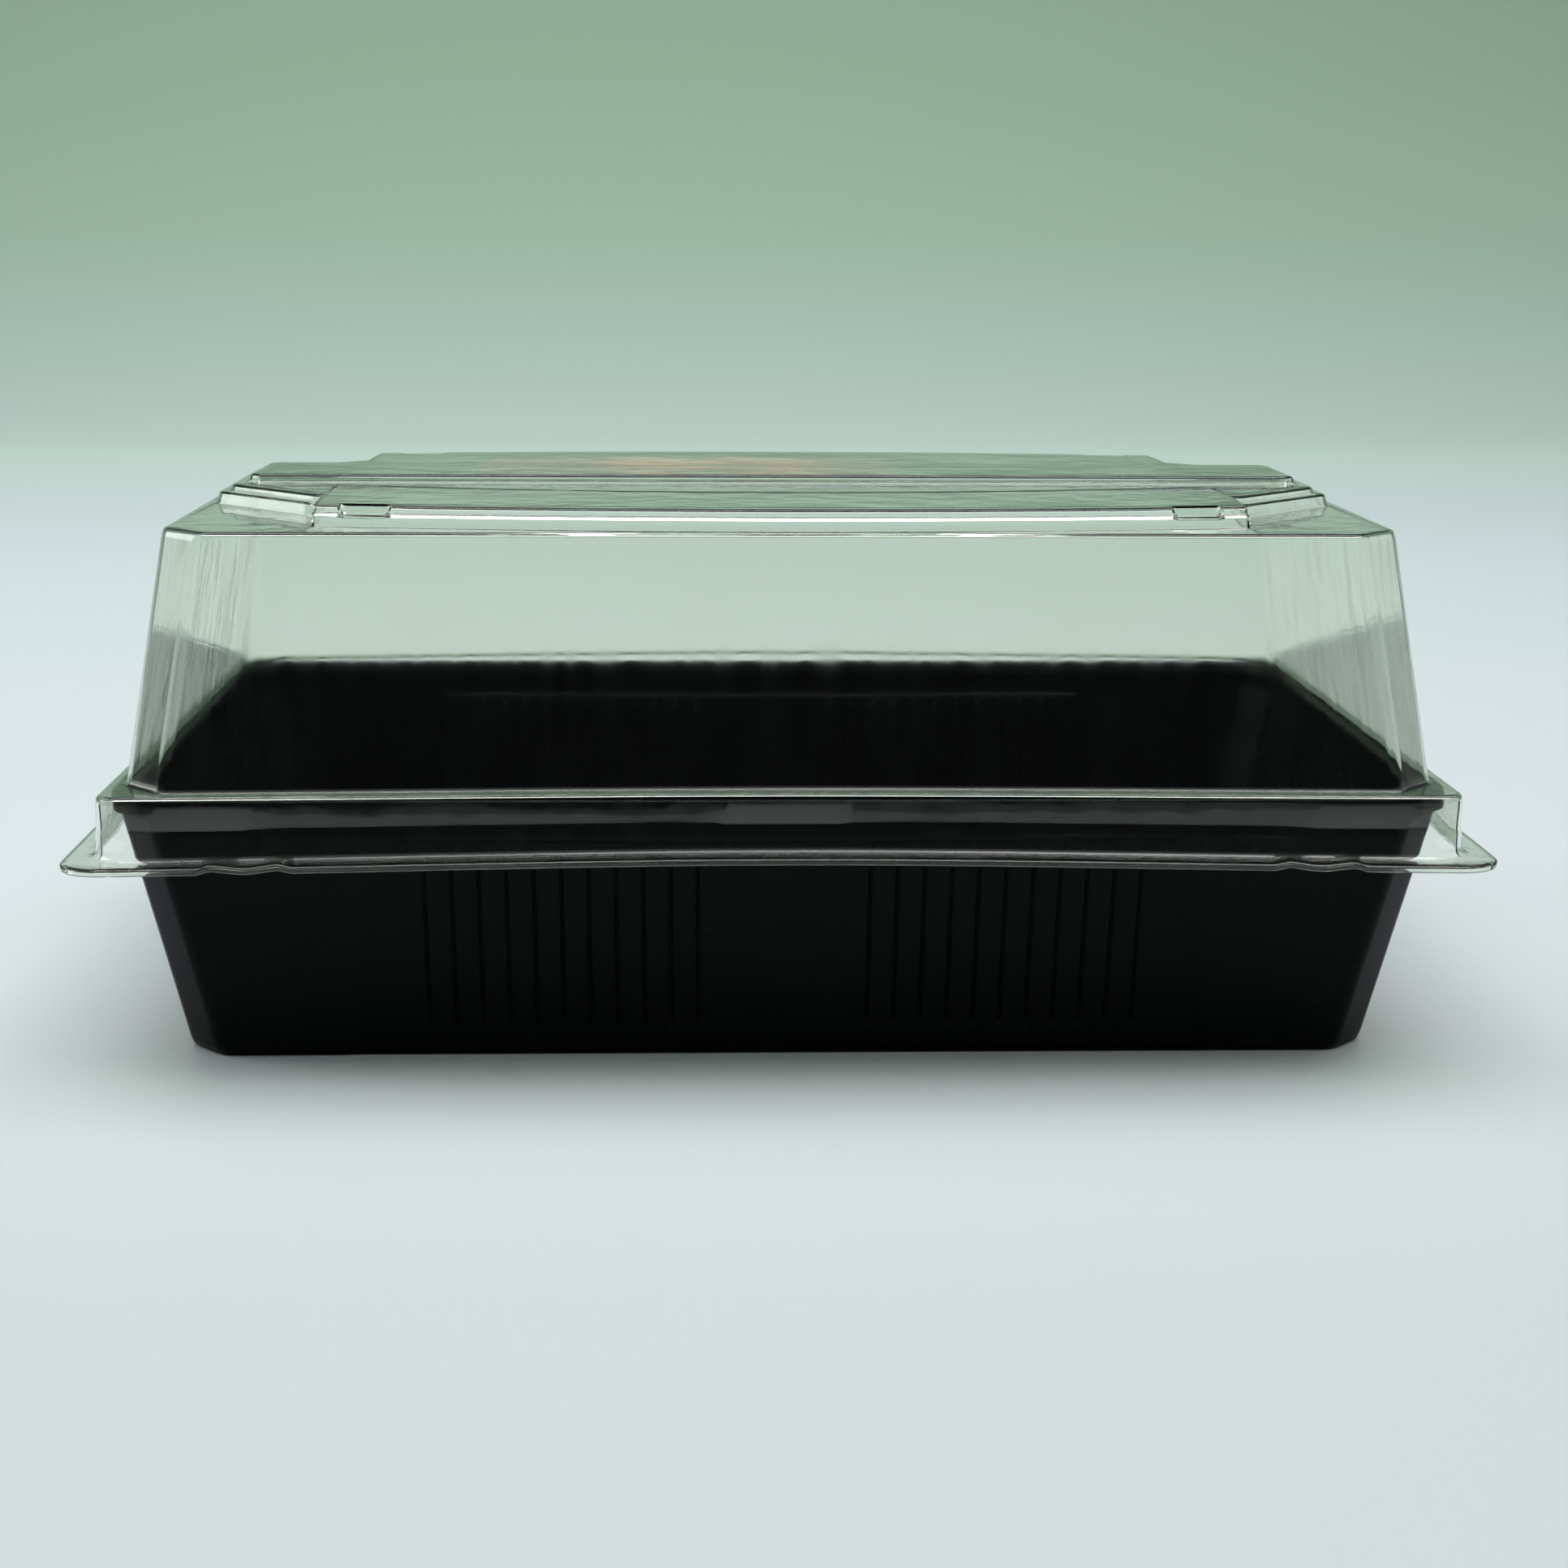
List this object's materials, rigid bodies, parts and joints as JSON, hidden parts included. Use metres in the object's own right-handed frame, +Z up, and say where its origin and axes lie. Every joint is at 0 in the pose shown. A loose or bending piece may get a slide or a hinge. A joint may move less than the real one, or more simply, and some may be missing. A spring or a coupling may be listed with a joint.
{
  "type": "humidity dome tray",
  "caption": "Ribbed rectangular seed tray with a clear press-fit humidity dome, stepped lid top, outer lip with finger tabs and a film label.",
  "frame": {"origin": "middle of the ground plane under the tray", "axes": "+X along the length, +Y to the back, +Z up"},
  "size_m": [0.203, 0.129, 0.0811],
  "materials": {
    "tray": "semi-gloss black thermoformed sheet",
    "dome": "clear thermoformed film, glossy",
    "label": "thin printed film, no lettering"
  },
  "bodies": {
    "tray": {"tray": "tray"},
    "lid": {"dome": "dome", "label": "label"}
  },
  "joints": [
    {"name": "dome_lift", "type": "slide", "parent": "tray", "child": "lid", "axis": [0, 0, 1], "range_m": [0, 0.06]}
  ]
}
